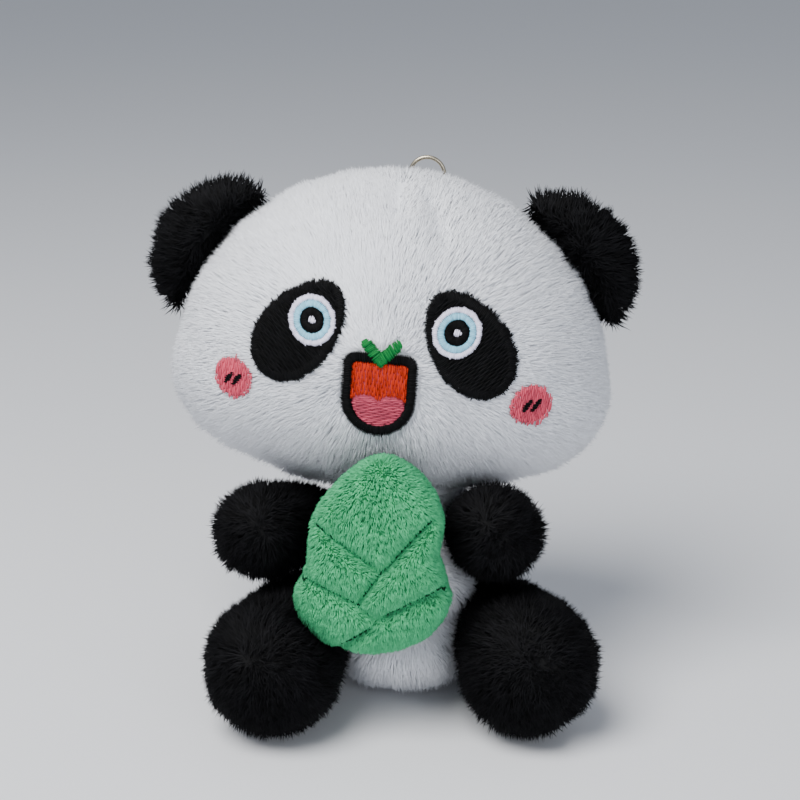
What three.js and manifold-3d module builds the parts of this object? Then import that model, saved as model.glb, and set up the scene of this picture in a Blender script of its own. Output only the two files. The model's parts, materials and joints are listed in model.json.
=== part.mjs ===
// A sitting plush panda that holds a quilted bamboo shoot. Millimetres, +Z up, facing -Y. Left and right
// in the names are as seen by someone who looks at the face, so right is +X. The origin is on the floor,
// under the neck.
import * as THREE from "three";
import { mergeVertices } from "three/addons/utils/BufferGeometryUtils.js";
import Module from "manifold-3d";

const wasm = await Module();
wasm.setup();

// ---------------------------------------------------------------- driving dimensions
const GAP = 0.3; // between pieces that touch
const COVER = 2.6; // plush fabric with its laid pile
const JOINT_CLEARANCE = 0.6; // round a piece that moves
const FAR = 300; // longer than the whole object
const FINEST = 0.02; // detail smaller than this is merged away

const BODY = {
  sideways: 1.5, // the trunk sits a little off the line of the neck
  forward: 2,
  halfWidth: 25.5,
  halfDepth: 24,
  above: 29, // from the widest level to the top
  below: 17, // from the widest level to the seat before it's pressed flat
  pressedFlat: 2,
  seamBehindLegs: 3, // its side seam runs behind the limbs' sockets
};
const NECK = {
  sunk: 3, // its centre, below the top of the trunk
  capRadius: 14,
  seamThickness: 1.2,
  seamLow: 1.5,
  seamHigh: 7.5,
};
const HEAD = {
  sideways: -1.9,
  overNeck: 1.4, // from the neck's centre to the level of the chin
  halfWidth: 46.7,
  halfDepth: 31.5,
  above: 42.6, // from the widest level to the crown
  below: 25.6, // from the widest level to the chin
  panelSeam: 2, // the seam between its two panels, behind its middle
  roll: THREE.MathUtils.degToRad(4),
};
const SHOOT = {
  sideways: -1.9,
  beforeFace: 7, // from the front of the face to its middle plane
  underNeck: 1.4, // from the neck's level to its centre
  tilt: THREE.MathUtils.degToRad(-10), // its foot leans forward over the legs
  puffHalfWidth: 20,
  puffHalfDepth: 7.2,
  puffHalfHeight: 24,
  edgeRound: 2.4,
  grooveWidth: 1.8,
  grooveDepth: 1.7,
  threadWidth: 0.8,
  threadHeight: 0.7,
};
// The roots of the limbs lie inside the trunk, and the paws press on the shoot's sides.
const ARM = {
  rootRadius: 8.8,
  rootInset: 7.5, // from the trunk's widest side
  rootForward: 4, // from the trunk's middle
  left: { rootUnderNeck: 7.5, pawFromShoot: [-24.7, 12.5, -0.8], pawRadius: 11 },
  right: { rootUnderNeck: 8, pawFromShoot: [24, 10.5, 1.1], pawRadius: 10.8 },
};
const LEG = {
  rootRadius: 10,
  rootInset: 4,
  rootForward: 6,
  rootHeight: 13.5,
  pressedFlat: 0.4, // where the foot rests on the floor
  left: { footFromRoot: [-2.4, -32], footRadius: 15.3 },
  right: { footFromRoot: [6.6, -28], footRadius: 15.2 },
  spread: THREE.MathUtils.degToRad(10), // how far it can swing outwards
};
const EAR = {
  // from the crown to the seam: the left ear is sewn on lower
  left: THREE.MathUtils.degToRad(57.5),
  right: THREE.MathUtils.degToRad(52.5),
  sunk: 3.1, // from the head's skin in to the middle of the flap
  back: 1, // behind the head's middle
  halfLength: 17.5, // along the seam
  reach: 15.5, // outwards from the seam
  halfThickness: 5.2,
  clearance: 1.3, // lets it fold
  lean: THREE.MathUtils.degToRad(49.7), // from upright, outwards
};

// Embroidery, measured from the head's centre, along the width and up.
const PATCH = { centre: [16.6, 12.9], halfLength: 11.9, halfWidth: 7.4, lean: THREE.MathUtils.degToRad(51) };
const EYE = { centre: [14.2, 15], ring: 4.8, iris: 3.8, pupil: 2.5, highlight: 0.8 };
const MOUTH = {
  halfWidth: 7.4,
  top: 10.4,
  bottom: -6.5,
  corner: 2.4,
  line: 1.6,
  tongueTop: 1.6,
  lobe: [3, 2.6], // half the width and height of each of the tongue's two lobes
};
const LEAF = { base: [0, 9.9], tip: [3.6, 14], width: 1.9, thickness: 1 };
const CHEEK = { centre: [30, 0.6], radius: 4.2, strokeLength: 2.6, strokeWidth: 0.8, strokeApart: 1.7 };
const POCKET_FLOOR = -1.8; // embroidered areas lie below the tips of the pile
const BASE_LAYER = [-1.5, -0.7];
const TOP_LAYER = [-0.4, 0.2];
const FULL_LAYER = [-1.5, -0.2];

const TAB = { foot: [3.5, 20], width: 3, inner: 1.05, thickness: 0.45, lift: 1.7, depth: 1.6 };
const RING = { radius: 3.8, wire: 0.45 };
const TACK = { radius: 1.6, underShoot: 9.6 }; // its level below the shoot's centre

// Centres that follow from the sizes above.
const BODY_CENTRE = [BODY.sideways, -BODY.forward, BODY.below - BODY.pressedFlat];
const NECK_CENTRE = [0, 0, BODY_CENTRE[2] + BODY.above - NECK.sunk];
const HEAD_CENTRE = [HEAD.sideways, 0, NECK_CENTRE[2] + HEAD.overNeck + HEAD.below];
const SHOOT_CENTRE = [SHOOT.sideways, -HEAD.halfDepth - SHOOT.beforeFace, NECK_CENTRE[2] - SHOOT.underNeck];

// Facets: how many go round a full turn, or along a profile from pole to pole.
const FACETS = {
  head: [36, 12],
  trunk: [22, 10],
  ball: [20, 10],
  limb: [16, 4],
  shoot: [20, 12],
  ear: [24, 14],
  outline: 7,
};

// ---------------------------------------------------------------- solids
function solid(geometry) {
  const bare = geometry.clone();
  bare.deleteAttribute("normal");
  bare.deleteAttribute("uv");
  const merged = mergeVertices(bare, 1e-4);
  const corners = merged.index.array;
  const kept = [];
  for (let i = 0; i < corners.length; i += 3) {
    const [a, b, c] = corners.slice(i, i + 3);
    if (a !== b && b !== c && c !== a) kept.push(a, b, c);
  }
  return new wasm.Manifold(
    new wasm.Mesh({
      numProp: 3,
      vertProperties: merged.attributes.position.array,
      triVerts: new Uint32Array(kept),
    }),
  );
}

function geometryOf(shape) {
  const made = shape.simplify(FINEST).getMesh();
  const geometry = new THREE.BufferGeometry();
  geometry.setAttribute("position", new THREE.BufferAttribute(new Float32Array(made.vertProperties), 3));
  geometry.setIndex(new THREE.BufferAttribute(new Uint32Array(made.triVerts), 1));
  const flat = geometry.toNonIndexed();
  flat.computeVertexNormals();
  return flat;
}

function box(low, high) {
  const size = high.map((value, i) => value - low[i]);
  const made = new THREE.BoxGeometry(...size);
  made.translate(...low.map((value, i) => value + size[i] / 2));
  return solid(made);
}

function ball(centre, radius) {
  const made = new THREE.SphereGeometry(radius, ...FACETS.ball);
  made.rotateX(Math.PI / 2);
  made.translate(...centre);
  return solid(made);
}

// A round form turned about +Z from two quarter ellipses, flattened front to back.
function egg(centre, { halfWidth, halfDepth, above, below }, grow, [around, rings]) {
  const profile = [];
  for (let i = 0; i <= rings; i++) {
    const angle = -Math.PI / 2 + (Math.PI * i) / rings;
    const height = (angle < 0 ? below : above) + grow;
    const radius = i === 0 || i === rings ? 0 : (halfWidth + grow) * Math.cos(angle);
    profile.push(new THREE.Vector2(radius, height * Math.sin(angle)));
  }
  const made = new THREE.LatheGeometry(profile, around);
  made.rotateX(Math.PI / 2);
  made.scale(1, (halfDepth + grow) / (halfWidth + grow), 1);
  made.translate(...centre);
  return solid(made);
}

// Two balls and the cone that touches both, from the root at the origin to the end along -Y.
function limbForm(rootRadius, endRadius, length) {
  const [around, rings] = FACETS.limb;
  const slope = Math.asin((endRadius - rootRadius) / length);
  const profile = [new THREE.Vector2(0, -length - endRadius)];
  for (let i = 1; i <= rings; i++) {
    const angle = -Math.PI / 2 + ((Math.PI / 2 + slope) * i) / rings;
    profile.push(new THREE.Vector2(endRadius * Math.cos(angle), -length + endRadius * Math.sin(angle)));
  }
  for (let i = 0; i < rings; i++) {
    const angle = slope + ((Math.PI / 2 - slope) * i) / rings;
    profile.push(new THREE.Vector2(rootRadius * Math.cos(angle), rootRadius * Math.sin(angle)));
  }
  profile.push(new THREE.Vector2(0, rootRadius));
  return solid(new THREE.LatheGeometry(profile, around));
}

// A flat outline, drawn along X and Z, as a prism from front to back of the plane y = 0.
function prism(outline, front, back) {
  const made = new THREE.ExtrudeGeometry(outline, {
    depth: back - front,
    bevelEnabled: false,
    curveSegments: FACETS.outline,
  });
  made.rotateX(Math.PI / 2);
  made.translate(0, back, 0);
  return solid(made);
}

function splitAcross(shape, axis, at) {
  const low = [-FAR, -FAR, -FAR];
  const high = [FAR, FAR, FAR];
  const below = [...high];
  const above = [...low];
  below[axis] = at - GAP / 2;
  above[axis] = at + GAP / 2;
  return [shape.intersect(box(low, below)), shape.intersect(box(above, high))];
}

// A hollow cover in two panels and the filling inside it. formAt(grow) is the form grown by that much.
function cushion(formAt, axis, seamAt) {
  const [low, high] = splitAcross(formAt(0).subtract(formAt(-COVER)), axis, seamAt);
  return { low, high, filling: formAt(-COVER - GAP) };
}

// ---------------------------------------------------------------- materials and meshes
const LOOK = {
  white: [0xe8ebf0, 1],
  black: [0x0c0c0f, 1],
  green: [0x58bd80, 0.95],
  darkGreen: [0x1f6b3f, 0.9],
  leafGreen: [0x238c46, 0.7],
  fibre: [0xf2f2ee, 1],
  blackThread: [0x0a0a0c, 0.6],
  whiteThread: [0xe4dfee, 0.6],
  blueThread: [0x96cddc, 0.6],
  orangeThread: [0xcd4a20, 0.6],
  pinkThread: [0xcd6e82, 0.6],
  cheekThread: [0xe4697f, 0.6],
  ribbon: [0xe9e2d0, 0.8],
  steel: [0xb9b4a8, 0.35],
};

function mesh(name, shape, look) {
  const [color, roughness] = LOOK[look];
  const metalness = look === "steel" ? 1 : 0;
  const material = new THREE.MeshStandardMaterial({ color, roughness, metalness });
  const made = new THREE.Mesh(geometryOf(shape), material);
  made.name = name;
  return made;
}

function placed(shape, group) {
  group.updateMatrixWorld(true);
  return shape.transform(group.matrixWorld.elements);
}

const panda = new THREE.Group();
panda.name = "plush_panda";

// ---------------------------------------------------------------- neck seam
const seamInner = NECK.capRadius + GAP;
const seamOuter = seamInner + NECK.seamThickness;
const socketRadius = seamOuter + GAP;
const seamBand = box(
  [-FAR, -FAR, NECK_CENTRE[2] + NECK.seamLow],
  [FAR, FAR, NECK_CENTRE[2] + NECK.seamHigh],
);
const seam = ball(NECK_CENTRE, seamOuter).subtract(ball(NECK_CENTRE, seamInner)).intersect(seamBand);
panda.add(mesh("neck_seam", seam, "white"));

// ---------------------------------------------------------------- bamboo shoot
const shootGroup = new THREE.Group();
shootGroup.name = "shoot";
shootGroup.position.set(...SHOOT_CENTRE);
shootGroup.rotation.x = SHOOT.tilt;
panda.add(shootGroup);

// The tip, then clockwise as seen from the front.
const SHOOT_EDGE = [
  [1.8, 20.4],
  [9.4, 16.2],
  [14.6, 8.2],
  [13.5, 0.4],
  [16.4, -8.4],
  [11.2, -17],
  [0, -20.8],
  [-10.6, -18.6],
  [-17, -9.4],
  [-13.4, -2],
  [-13, 7.2],
  [-9, 12.8],
  [-4.2, 17.4],
];
const GROOVES = [
  [[-11.6, 6], [0.8, -2.2]],
  [[12.4, 8], [9.5, 5.2], [1.9, -3.2], [-1.9, -8.4]],
  [[-14.8, -4.4], [-2.8, -9.6], [0.2, -12.6]],
  [[15.2, -5.6], [2.4, -12]],
  [[0.2, -14.4], [-6.4, -18.8]],
];

function puff(grow) {
  const { puffHalfWidth, puffHalfDepth, puffHalfHeight } = SHOOT;
  const made = new THREE.SphereGeometry(1, ...FACETS.shoot);
  made.scale(puffHalfWidth + grow, puffHalfDepth + grow, puffHalfHeight + grow);
  return solid(made);
}

function shootForm(grow) {
  const edge = SHOOT_EDGE.map(([x, z]) => new THREE.Vector3(x, z, 0));
  const around = new THREE.CatmullRomCurve3(edge, true, "centripetal");
  const flat = around.getPoints(2 * SHOOT_EDGE.length).map(({ x, y }) => new THREE.Vector2(x, y));
  const outline = new THREE.Shape(flat.slice(0, -1));
  const half = SHOOT.puffHalfDepth + grow;
  const made = new THREE.ExtrudeGeometry(outline, {
    depth: 2 * (half - SHOOT.edgeRound),
    bevelThickness: SHOOT.edgeRound,
    bevelSize: SHOOT.edgeRound,
    bevelOffset: grow - SHOOT.edgeRound,
    bevelSegments: 2,
  });
  made.rotateX(Math.PI / 2);
  made.translate(0, half - SHOOT.edgeRound, 0);
  return solid(made).intersect(puff(grow));
}

// A stripe along a bent line, with mitred corners and square ends.
function stripe(line, width, front, back) {
  const points = line.map(([x, z]) => new THREE.Vector2(x, z));
  const edge = (sign) =>
    points.map((point, i) => {
      const before = point.clone().sub(points[Math.max(i - 1, 0)]).normalize();
      const after = points[Math.min(i + 1, points.length - 1)].clone().sub(point).normalize();
      const along = before.clone().add(after).normalize();
      const mitre = (sign * width) / 2 / along.dot(i === 0 ? after : before);
      return new THREE.Vector2(-along.y, along.x).multiplyScalar(mitre).add(point);
    });
  return prism(new THREE.Shape([...edge(-1), ...edge(1).reverse()]), front, back);
}

const shoot = cushion(shootForm, 1, 0);
const grooveFloor = shootForm(-SHOOT.grooveDepth);
for (const line of GROOVES) {
  const groove = stripe(line, SHOOT.grooveWidth, -FAR, 0).subtract(grooveFloor);
  shoot.low = shoot.low.subtract(groove);
}
shootGroup.add(mesh("shoot_front_cover", shoot.low, "green"));
shootGroup.add(mesh("shoot_back_cover", shoot.high, "green"));
shootGroup.add(mesh("shoot_stuffing", shoot.filling, "fibre"));
const threadTop = shootForm(-SHOOT.grooveDepth + GAP + SHOOT.threadHeight);
const threadFoot = shootForm(-SHOOT.grooveDepth + GAP);
GROOVES.forEach((line, i) => {
  const thread = stripe(line, SHOOT.threadWidth, -FAR, 0).intersect(threadTop).subtract(threadFoot);
  shootGroup.add(mesh(`shoot_stitch_${i + 1}`, thread, "darkGreen"));
});

// ---------------------------------------------------------------- arms and legs
function limbGroup(name, { root, end }) {
  const group = new THREE.Group();
  group.name = name;
  group.position.set(...root);
  const along = new THREE.Vector3(...end).sub(group.position);
  group.rotation.order = "ZXY";
  group.rotation.z = Math.atan2(along.x, -along.y);
  group.rotation.x = -Math.atan2(along.z, Math.hypot(along.x, along.y));
  panda.add(group);
  group.updateMatrixWorld(true);
  return group;
}

// The limb in the world, grown by that much and turned that far outwards about its root.
function limbSolid({ group, root, end, rootRadius, endRadius }, grow, turn = 0) {
  const length = new THREE.Vector3(...root).distanceTo(new THREE.Vector3(...end));
  const made = placed(limbForm(rootRadius + grow, endRadius + grow, length), group);
  const [x, y, z] = root;
  return made
    .translate([-x, -y, -z])
    .rotate([0, 0, THREE.MathUtils.radToDeg(turn)])
    .translate([x, y, z]);
}

// The limb rests on the floor, and is dented by the shoot and by whatever else presses into it.
function addLimb(limb, dents) {
  const { name, group } = limb;
  const toLocal = group.matrixWorld.clone().invert();
  const formAt = (grow) => {
    const above = box([-FAR, -FAR, -grow], [FAR, FAR, FAR]);
    const shootDent = placed(puff(GAP - grow), shootGroup);
    const pressed = limbSolid(limb, grow).intersect(above).subtract(shootDent);
    const world = dents.reduce((left, dentAt) => left.subtract(dentAt(GAP - grow)), pressed);
    return world.transform(toLocal.elements);
  };
  const { low, high, filling } = cushion(formAt, 2, 0);
  group.add(mesh(`${name}_lower`, low, "black"));
  group.add(mesh(`${name}_upper`, high, "black"));
  group.add(mesh(`${name}_stuffing`, filling, "fibre"));
}

function armOf(side, sign) {
  const { rootUnderNeck, pawFromShoot, pawRadius } = ARM[side];
  const name = `arm_${side}`;
  const root = [
    BODY_CENTRE[0] + sign * (BODY.halfWidth - ARM.rootInset),
    BODY_CENTRE[1] - ARM.rootForward,
    NECK_CENTRE[2] - rootUnderNeck,
  ];
  const end = SHOOT_CENTRE.map((value, i) => value + pawFromShoot[i]);
  const group = limbGroup(name, { root, end });
  return { name, root, end, rootRadius: ARM.rootRadius, endRadius: pawRadius, group };
}

function legOf(side, sign) {
  const { footFromRoot, footRadius } = LEG[side];
  const name = `leg_${side}`;
  const root = [
    BODY_CENTRE[0] + sign * (BODY.halfWidth - LEG.rootInset),
    BODY_CENTRE[1] - LEG.rootForward,
    LEG.rootHeight,
  ];
  const end = [root[0] + footFromRoot[0], root[1] + footFromRoot[1], footRadius - LEG.pressedFlat];
  const group = limbGroup(name, { root, end });
  return { name, root, end, rootRadius: LEG.rootRadius, endRadius: footRadius, group };
}

// All the room a leg takes up as it spreads.
function legSweep(leg, sign, grow) {
  return limbSolid(leg, grow).add(limbSolid(leg, grow, sign * LEG.spread)).hull();
}

const limbs = [["left", -1], ["right", 1]].flatMap(([side, sign]) => {
  const arm = armOf(side, sign);
  const leg = legOf(side, sign);
  addLimb(leg, []);
  addLimb(arm, [(grow) => legSweep(leg, sign, grow), (grow) => ball(NECK_CENTRE, seamOuter + grow)]);
  return [arm, leg];
});

// ---------------------------------------------------------------- body
function trunk(grow) {
  return egg(BODY_CENTRE, BODY, grow, FACETS.trunk);
}

function bodyForm(grow) {
  const cap = ball(NECK_CENTRE, NECK.capRadius + grow);
  const aboveFloor = box([-FAR, -FAR, -grow], [FAR, FAR, FAR]);
  const sockets = limbs.map((limb) => limbSolid(limb, JOINT_CLEARANCE - grow));
  return sockets.reduce((left, socket) => left.subtract(socket), trunk(grow).add(cap).intersect(aboveFloor));
}

const sideSeam = BODY_CENTRE[1] - LEG.rootForward + LEG.rootRadius + JOINT_CLEARANCE + BODY.seamBehindLegs;
const body = cushion(bodyForm, 1, sideSeam);
panda.add(mesh("body_front_cover", body.low, "white"));
panda.add(mesh("body_back_cover", body.high, "white"));
panda.add(mesh("body_stuffing", body.filling, "fibre"));

// The stitch shank that ties the shoot's back to the belly.
const tackForm = new THREE.CylinderGeometry(TACK.radius, TACK.radius, -SHOOT_CENTRE[1]);
tackForm.translate(SHOOT_CENTRE[0], SHOOT_CENTRE[1] / 2, SHOOT_CENTRE[2] - TACK.underShoot);
const tack = solid(tackForm)
  .subtract(placed(puff(GAP), shootGroup))
  .subtract(trunk(GAP));
panda.add(mesh("shoot_tack", tack, "darkGreen"));

// ---------------------------------------------------------------- head
const headGroup = new THREE.Group();
headGroup.name = "head";
headGroup.position.set(...HEAD_CENTRE);
headGroup.rotation.y = HEAD.roll;
panda.add(headGroup);
headGroup.updateMatrixWorld(true);
const neckInHead = headGroup.worldToLocal(new THREE.Vector3(...NECK_CENTRE)).toArray();

function headSkin(grow) {
  return egg([0, 0, 0], HEAD, grow, FACETS.head);
}

function headForm(grow) {
  return headSkin(grow).subtract(ball(neckInHead, socketRadius - grow));
}

const face = [];
const head = cushion(headForm, 1, HEAD.panelSeam);

// A flat thread area on the face, between two depths measured from the tips of the pile.
function addThread(name, outline, [floor, top], look) {
  const area = prism(outline, -FAR, 0);
  headGroup.add(mesh(name, area.intersect(headSkin(top)).subtract(headSkin(floor)), look));
}

function sinkPocket(outline) {
  face.push(prism(outline, -FAR, 0).subtract(headSkin(POCKET_FLOOR)));
}

function oval([x, z], halfLength, halfWidth, lean = 0) {
  return new THREE.Shape().absellipse(x, z, halfLength, halfWidth, 0, 2 * Math.PI, false, lean);
}

function annulus(centre, outer, inner) {
  const made = oval(centre, outer, outer);
  made.holes.push(oval(centre, inner, inner));
  return made;
}

function mouthShape(inset) {
  const half = MOUTH.halfWidth - inset;
  const corner = MOUTH.corner - inset;
  const top = MOUTH.top - inset;
  const foot = MOUTH.bottom + inset + half;
  const made = new THREE.Shape();
  made.moveTo(-half + corner, top);
  made.absarc(-half + corner, top - corner, corner, Math.PI / 2, Math.PI, false);
  made.absarc(0, foot, half, Math.PI, 2 * Math.PI, false);
  made.absarc(half - corner, top - corner, corner, 0, Math.PI / 2, false);
  return made;
}

for (const [side, sign] of [["left", -1], ["right", 1]]) {
  const patchAt = [sign * PATCH.centre[0], PATCH.centre[1]];
  const lean = sign < 0 ? PATCH.lean : Math.PI - PATCH.lean;
  sinkPocket(oval(patchAt, PATCH.halfLength + GAP, PATCH.halfWidth + GAP, lean));
  const patch = oval(patchAt, PATCH.halfLength, PATCH.halfWidth, lean);
  addThread(`eye_${side}_patch`, patch, BASE_LAYER, "blackThread");
  const eyeAt = [sign * EYE.centre[0], EYE.centre[1]];
  addThread(`eye_${side}_ring`, annulus(eyeAt, EYE.ring, EYE.iris + GAP), TOP_LAYER, "whiteThread");
  addThread(`eye_${side}_iris`, annulus(eyeAt, EYE.iris, EYE.pupil + GAP), TOP_LAYER, "blueThread");
  addThread(`eye_${side}_pupil`, annulus(eyeAt, EYE.pupil, EYE.highlight + GAP), TOP_LAYER, "blackThread");
  addThread(`eye_${side}_highlight`, oval(eyeAt, EYE.highlight, EYE.highlight), TOP_LAYER, "whiteThread");

  const cheekAt = [sign * CHEEK.centre[0], CHEEK.centre[1]];
  sinkPocket(oval(cheekAt, CHEEK.radius + GAP, CHEEK.radius + GAP));
  addThread(`cheek_${side}`, oval(cheekAt, CHEEK.radius, CHEEK.radius), BASE_LAYER, "cheekThread");
  for (const nth of [1, 2]) {
    const along = (nth - 1.5) * CHEEK.strokeApart;
    const strokeAt = [cheekAt[0] + along, cheekAt[1]];
    const stroke = oval(strokeAt, CHEEK.strokeLength / 2, CHEEK.strokeWidth / 2, PATCH.lean);
    addThread(`cheek_${side}_stroke_${nth}`, stroke, TOP_LAYER, "blackThread");
  }
}

sinkPocket(mouthShape(-GAP));
const mouthLine = mouthShape(0);
mouthLine.holes.push(mouthShape(MOUTH.line));
addThread("mouth_outline", mouthLine, FULL_LAYER, "blackThread");

// The tongue's top edge is two lobes; the rest of the open mouth is filled above it.
const mouthInner = prism(mouthShape(MOUTH.line + GAP), -FAR, 0);
const mouthLayer = headSkin(FULL_LAYER[1]).subtract(headSkin(FULL_LAYER[0]));
function tongueForm(grow) {
  const [across, high] = MOUTH.lobe;
  const foot = box([-FAR, -FAR, -FAR], [FAR, 0, MOUTH.tongueTop - high + grow]);
  const lobes = [-1, 1].map((sign) => {
    const centre = [sign * high, MOUTH.tongueTop - high];
    return prism(oval(centre, across + grow, high + grow), -FAR, 0);
  });
  return foot.add(lobes[0]).add(lobes[1]);
}
const tongue = mouthInner.intersect(tongueForm(0)).intersect(mouthLayer);
const mouthFill = mouthInner.subtract(tongueForm(GAP)).intersect(mouthLayer);
headGroup.add(mesh("mouth_tongue", tongue, "pinkThread"));
headGroup.add(mesh("mouth_fill", mouthFill, "orangeThread"));

// The nose is a small leaf of two blades that meet at the top of the mouth.
const leafLine = [
  [-LEAF.tip[0], LEAF.tip[1]],
  LEAF.base,
  LEAF.tip,
];
const leaf = stripe(leafLine, LEAF.width, -FAR, 0);
const leafFloor = FULL_LAYER[1] + GAP;
const leafLayer = headSkin(leafFloor + LEAF.thickness).subtract(headSkin(leafFloor));
headGroup.add(mesh("nose_leaf", leaf.intersect(leafLayer), "leafGreen"));

// ---------------------------------------------------------------- ribbon tab and hanging ring
const [tabX, tabY] = TAB.foot;
const crownAt = HEAD.above * Math.sqrt(1 - (tabX / HEAD.halfWidth) ** 2 - (tabY / HEAD.halfDepth) ** 2);
const wireAt = [tabX, tabY, crownAt + TAB.lift];
const tabOuter = TAB.inner + TAB.thickness;

function tabProfile(radius) {
  const made = new THREE.Shape();
  made.moveTo(radius, -TAB.lift - TAB.depth);
  made.absarc(0, 0, radius, 0, Math.PI, false);
  made.lineTo(-radius, -TAB.lift - TAB.depth);
  return made;
}

// The ribbon's cross-section, drawn along Y and Z, as a strip along X.
function tabStrip(outline, width) {
  const made = new THREE.ExtrudeGeometry(outline, { depth: width, bevelEnabled: false, curveSegments: 10 });
  made.translate(0, 0, -width / 2);
  made.rotateX(Math.PI / 2);
  made.rotateZ(Math.PI / 2);
  made.translate(...wireAt);
  return solid(made);
}

const tabCore = tabStrip(tabProfile(TAB.inner), TAB.width + 1);
const tabFloor = headSkin(-TAB.depth + 2 * GAP);
const ribbon = tabStrip(tabProfile(tabOuter), TAB.width).subtract(tabCore).subtract(tabFloor);
const tabSlot = tabStrip(tabProfile(tabOuter + GAP), TAB.width + 2 * GAP).subtract(headSkin(-TAB.depth));
headGroup.add(mesh("ribbon_tab", ribbon, "ribbon"));

const ringForm = new THREE.TorusGeometry(RING.radius, RING.wire, 8, 28);
ringForm.rotateX(Math.PI / 2);
const ring = mesh("hang_ring", solid(ringForm), "steel");
ring.position.set(wireAt[0], wireAt[1], wireAt[2] + RING.radius);
headGroup.add(ring);

face.forEach((pocket) => {
  head.low = head.low.subtract(pocket);
});
headGroup.add(mesh("head_front_cover", head.low, "white"));
headGroup.add(mesh("head_back_cover", head.high.subtract(tabSlot), "white"));
headGroup.add(mesh("head_stuffing", head.filling, "fibre"));

// ---------------------------------------------------------------- ears
for (const [side, sign] of [["left", -1], ["right", 1]]) {
  const around = EAR[side];
  const across = HEAD.halfWidth * Math.sin(around) - EAR.sunk * Math.sin(EAR.lean);
  const up = HEAD.above * Math.cos(around) - EAR.sunk * Math.cos(EAR.lean);
  const made = new THREE.SphereGeometry(1, ...FACETS.ear);
  made.scale(EAR.halfLength, EAR.halfThickness, EAR.reach);
  made.rotateY(sign * EAR.lean);
  made.translate(sign * across, EAR.back, up);
  const flap = solid(made).subtract(headSkin(EAR.clearance));
  const [front, back] = splitAcross(flap, 1, EAR.back);
  headGroup.add(mesh(`ear_${side}_front`, front, "black"));
  headGroup.add(mesh(`ear_${side}_back`, back, "black"));
}

export default panda;
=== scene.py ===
"""The looks of the plush panda: puffed skins, pile, satin stitches, hanging ring, camera, light and floor."""

import json
import math

import bpy
import numpy as np
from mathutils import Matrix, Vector
from mathutils.bvhtree import BVHTree
from mathutils.kdtree import KDTree


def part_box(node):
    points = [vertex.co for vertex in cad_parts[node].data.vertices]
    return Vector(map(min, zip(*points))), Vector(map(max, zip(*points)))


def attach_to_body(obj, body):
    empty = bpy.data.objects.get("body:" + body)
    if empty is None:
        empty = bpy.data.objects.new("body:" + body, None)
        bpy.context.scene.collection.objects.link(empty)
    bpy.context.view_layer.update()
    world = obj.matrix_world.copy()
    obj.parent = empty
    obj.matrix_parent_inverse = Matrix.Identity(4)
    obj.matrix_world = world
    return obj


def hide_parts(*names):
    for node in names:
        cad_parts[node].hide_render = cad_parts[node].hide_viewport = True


MM = 0.001

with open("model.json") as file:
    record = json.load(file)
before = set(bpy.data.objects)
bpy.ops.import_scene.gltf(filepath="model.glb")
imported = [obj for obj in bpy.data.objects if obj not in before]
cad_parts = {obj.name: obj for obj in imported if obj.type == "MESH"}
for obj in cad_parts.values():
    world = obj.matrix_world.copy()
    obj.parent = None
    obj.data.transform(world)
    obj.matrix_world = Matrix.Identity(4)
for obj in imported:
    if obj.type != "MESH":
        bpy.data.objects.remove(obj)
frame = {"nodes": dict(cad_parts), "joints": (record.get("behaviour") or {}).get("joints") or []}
NODES = frame["nodes"]
JOINTS = {joint["name"]: joint for joint in frame["joints"]}
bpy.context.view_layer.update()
rng = np.random.default_rng(7)

LIMBS = ("arm_left", "arm_right", "leg_left", "leg_right")
SIDES = ("left", "right")


# ------------------------------------------------------------------ places taken from the frame
def middle(*nodes):
    boxes = [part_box(node) for node in nodes]
    low = np.min([box[0] for box in boxes], axis=0)
    high = np.max([box[1] for box in boxes], axis=0)
    return (low + high) / 2


# The hanging ring's pin lies across the head, so its axis is the head's own sideways direction.
ACROSS = np.array(JOINTS["ring_swing"]["axis"])
FORWARD = np.array([0.0, -1.0, 0.0])
UPWARD = np.cross(ACROSS, -FORWARD)
HEAD_CENTRE = middle("head_front_cover", "head_back_cover")
MUZZLE = middle("mouth_outline", "nose_leaf")


def aim(right, up):
    """A direction so many degrees to the right of straight ahead, and so many above it."""
    right, up = math.radians(right), math.radians(up)
    return np.array([math.sin(right) * math.cos(up), -math.cos(right) * math.cos(up), math.sin(up)])


# ------------------------------------------------------------------ mesh helpers
def new_object(name, mesh, materials=()):
    made = bpy.data.objects.new(name, mesh)
    for material in materials:
        mesh.materials.append(material)
    bpy.context.scene.collection.objects.link(made)
    return made


def attach(piece, body, slot, *replaced):
    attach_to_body(piece, body)
    if replaced:
        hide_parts(*replaced)


def points_of(mesh):
    flat = np.empty(len(mesh.vertices) * 3)
    mesh.vertices.foreach_get("co", flat)
    return flat.reshape(-1, 3)


def normals_of(mesh):
    flat = np.empty(len(mesh.vertices) * 3)
    mesh.vertex_normals.foreach_get("vector", flat)
    return flat.reshape(-1, 3)


def move_points(mesh, points):
    mesh.vertices.foreach_set("co", points.reshape(-1))
    mesh.update()


def shade_smooth(mesh):
    mesh.polygons.foreach_set("use_smooth", [True] * len(mesh.polygons))


def unit(vectors):
    return vectors / np.maximum(np.linalg.norm(vectors, axis=-1, keepdims=True), 1e-12)


def smooth_step(value, low, high):
    t = np.clip((value - low) / (high - low), 0, 1)
    return t * t * (3 - 2 * t)


def build_mesh(name, points, faces):
    made = bpy.data.meshes.new(name)
    made.from_pydata(np.asarray(points).tolist(), [], faces)
    return made


def joined_mesh(name, nodes):
    points, faces, base = [], [], 0
    for node in nodes:
        mesh = NODES[node].data
        points.append(points_of(mesh))
        faces += [[base + v for v in face.vertices] for face in mesh.polygons]
        base += len(mesh.vertices)
    return build_mesh(name, np.concatenate(points), faces)


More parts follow.
